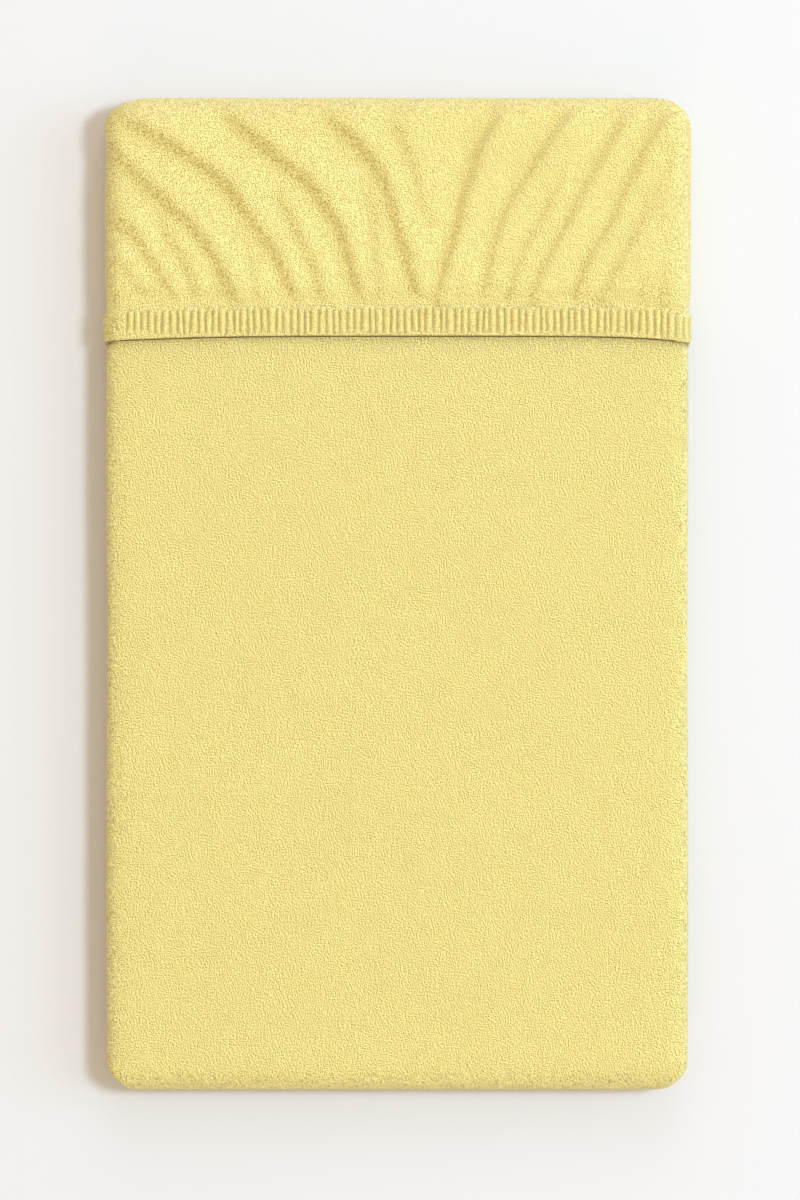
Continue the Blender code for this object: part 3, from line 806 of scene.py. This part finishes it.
def addPocket(mesh, backRow):
    hemCorners = addHem(mesh)
    wall = wallProfile()
    points = wallPoints()
    flap = flapPoints(points[:, -1])
    flap[..., 2] += puffOut(flap[..., 0], flap[..., 1])
    edge = points[:, -1:]
    facing = wallFacing()
    away = wall[:, 5]
    out = puffOut(edge[..., 0] + facing[:, :1] * away, edge[..., 1] + facing[:, 1:] * away)
    outward = gathers["wallPuff"] * out * wall[:, 3]
    points[..., 0] += outward * facing[:, :1]
    points[..., 1] += outward * facing[:, 1:]
    points[..., 2] += out * wall[:, 4]
    wallCorners = addGrid(mesh, settled(points[1:-1]))
    flapCorners = addGrid(mesh, settled(flap[1:]))
    smooth = mesh.verts.layers.float["smooth"]
    for row in flapCorners + wallCorners:
        for corner in row:
            corner[smooth] = gathers["smoothness"]
    hemTop = hemCorners[-1]
    finer = hem["finer"]
    wallFine = finer * (len(wall) - 1)
    joinRows(mesh, hemTop[finer:finer + wallFine + 1], wallCorners[0])
    joinRows(mesh, hemTop[finer + wallFine:-finer - wallFine], flapCorners[0])
    joinRows(mesh, hemTop[-finer - wallFine - 1:len(hemTop) - finer], wallCorners[-1][::-1])
    back = backRow[1:-1] + [row[-1] for row in hemCorners] + hemTop[-2:-finer - 2:-1]
    back += [column[0] for column in wallCorners[::-1]]
    back += hemTop[finer:0:-1] + [row[0] for row in hemCorners[::-1]]
    mesh.faces.new(back)


def raiseRibs(data):
    # the ribs stand out from the outer face alone; its points come first, and the inner face's after them
    places = np.empty(len(data.vertices) * 3)
    data.vertices.foreach_get("co", places)
    ribs = np.empty(places.shape)
    data.attributes["rib"].data.foreach_get("vector", ribs)
    half = len(places) // 2
    places[:half] += ribs[:half]
    data.vertices.foreach_set("co", places)
    data.attributes.remove(data.attributes["rib"])
    data.update()


def addFittedSheet():
    mesh = bmesh.new()
    mesh.verts.layers.deform.verify()
    mesh.verts.layers.float_vector.new("rib")
    mesh.verts.layers.float.new("depth")     # of the painted shade in the hem's grooves and under its lip
    mesh.verts.layers.float.new("smooth")    # how flat the pull on the cloth lays its pile
    backRow = addStrip(mesh)
    addPocket(mesh, backRow)
    bmesh.ops.remove_doubles(mesh, verts=mesh.verts, dist=mm / 100)
    bmesh.ops.recalc_face_normals(mesh, faces=mesh.faces)
    weight = mesh.verts.layers.deform.active
    for corner in mesh.verts:
        if 0 not in corner[weight]:
            corner[weight][0] = thicknessWeight(cloth["thickness"])
    data = bpy.data.meshes.new("fittedSheet")
    mesh.to_mesh(data)
    mesh.free()
    sheet = bpy.data.objects.new("fittedSheet", data)
    bpy.context.scene.collection.objects.link(sheet)
    thickness = sheet.vertex_groups.new(name="thickness")
    wall = sheet.modifiers.new("clothThickness", "SOLIDIFY")
    wall.thickness = hem["thickness"]
    wall.offset = 0
    wall.use_even_offset = True
    wall.vertex_group = thickness.name
    wall.thickness_vertex_group = hem["thinnest"] / hem["thickness"]
    bpy.context.view_layer.objects.active = sheet
    bpy.ops.object.modifier_apply(modifier=wall.name)
    sheet.data.shade_smooth()
    raiseRibs(sheet.data)
    return sheet


fittedSheet = addFittedSheet()
print("sheet folded")


# the terry: a pile of short loops, lying mostly along one diagonal, paler on the loops' tops and with
# painted shade between them

terry = {
    # the yarn's deeper tone together with painted shade between the loops
    "deepAndShadedColour": (0.30, 0.20, 0.01),
    "paleColour": (0.985, 0.852, 0.325),
    "paintedShadeColour": (0.20, 0.12, 0.012),    # painted shade, deep in the hem's grooves and under its lip
    "strokeWidth": 0.00034,
    "strokeLength": 1.7,         # times its width
    "direction": -48,            # degrees, seen from above
    "grain": (37, 23),           # degrees by which the noise is tipped, so that no flat face cuts it evenly
    "spacing": 0.00045,          # half of the way from one stroke to the next
    "crossShare": 0.35,          # how much the strokes are broken up along their length
    "darkest": -0.47,            # the strokes' values that are all deep
    "palest": 0.22,              # and all pale
    "hemPile": 0.62,             # how much of the pile shows on the stretched hem
    "hemLevel": 0.75,            # and how pale the hem is apart from it
    "bumpHeight": 0.00024,
    "roughness": 0.95,
    "sheen": 0.50,
    "sheenRoughness": 0.3,
    "sheenTint": (1.0, 0.97, 0.85),
}


class Shade:
    # a node's output, so that shader maths reads as an expression

    def __init__(self, tree, socket=None):
        self.tree = tree
        self.socket = socket

    def add(self, kind, settings=None, values=None, output=0):
        # settings are set first; values holds numbers, colours or links by socket name or number
        node = self.tree.nodes.new(kind)
        for name, setting in (settings or {}).items():
            setattr(node, name, setting)
        for name, value in (values or {}).items():
            if isinstance(value, Shade):
                self.tree.links.new(value.socket, node.inputs[name])
            else:
                node.inputs[name].default_value = value
        return Shade(self.tree, node.outputs[output])

    def maths(self, operation, first, second):
        return self.add("ShaderNodeMath", {"operation": operation}, {0: first, 1: second})

    def __add__(self, other):
        return self.maths("ADD", self, other)

    __radd__ = __add__

    def __mul__(self, other):
        return self.maths("MULTIPLY", self, other)

    __rmul__ = __mul__

    def __sub__(self, other):
        return self.maths("SUBTRACT", self, other)

    def __rsub__(self, other):
        return self.maths("SUBTRACT", other, self)

    def mixed(self, low, high):
        # from the colour low to the colour high as this goes from 0 to 1; either may vary too
        return self.add("ShaderNodeMix", {"data_type": "RGBA"}, {0: self, 6: low, 7: high}, output=2)


def terryMaterial():
    material = bpy.data.materials.new("yellowTerry")
    material.use_nodes = True
    tree = material.node_tree
    shader = tree.nodes["Principled BSDF"]
    start = Shade(tree)
    place = start.add("ShaderNodeTexCoord", output=3)
    turned = start.add("ShaderNodeMapping", values={
        "Vector": place, "Rotation": (0, 0, -math.radians(terry["direction"]))})

    def noise(along, across):
        # the noise a little further along or across the strokes
        moved = start.add("ShaderNodeMapping", values={
            "Vector": turned, "Scale": (1 / terry["strokeLength"], 1, 1), "Location": (along, across, 0)})
        tipped = start.add("ShaderNodeMapping", values={
            "Vector": moved, "Rotation": (*(math.radians(turn) for turn in terry["grain"]), 0)})
        return start.add("ShaderNodeTexNoise", values={
            "Vector": tipped, "Scale": 1 / terry["strokeWidth"], "Detail": 0.0})

    here = noise(0, 0)
    across = here - noise(0, terry["spacing"])
    along = here - noise(terry["spacing"], 0)
    strokes = across + along * terry["crossShare"]
    pile = start.add("ShaderNodeMapRange", {"interpolation_type": "SMOOTHSTEP"}, {
        "Value": strokes, "From Min": terry["darkest"], "From Max": terry["palest"]})
    smooth = start.add("ShaderNodeAttribute", {"attribute_name": "smooth"}, output=2)
    # painted shade: the depth attribute darkens the hem's grooves and a line under its lip
    depth = start.add("ShaderNodeAttribute", {"attribute_name": "depth"}, output=2)
    height = pile + (terry["hemLevel"] - pile) * (smooth * (1 - terry["hemPile"]))
    # low pile takes the deep colour: painted shade between the loops, on the yarn's own tone
    colour = height.mixed((*terry["deepAndShadedColour"], 1), (*terry["paleColour"], 1))
    colour = depth.mixed(colour, (*terry["paintedShadeColour"], 1))
    bump = start.add("ShaderNodeBump", values={
        "Height": height, "Distance": terry["bumpHeight"], "Strength": 1.0})
    tree.links.new(colour.socket, shader.inputs["Base Color"])
    tree.links.new(bump.socket, shader.inputs["Normal"])
    shader.inputs["Roughness"].default_value = terry["roughness"]
    shader.inputs["Sheen Weight"].default_value = terry["sheen"]
    shader.inputs["Sheen Roughness"].default_value = terry["sheenRoughness"]
    shader.inputs["Sheen Tint"].default_value = (*terry["sheenTint"], 1)
    return material


fittedSheet.data.materials.append(terryMaterial())
print("terry made")

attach(fittedSheet, "root")
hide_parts("fitted_sheet")
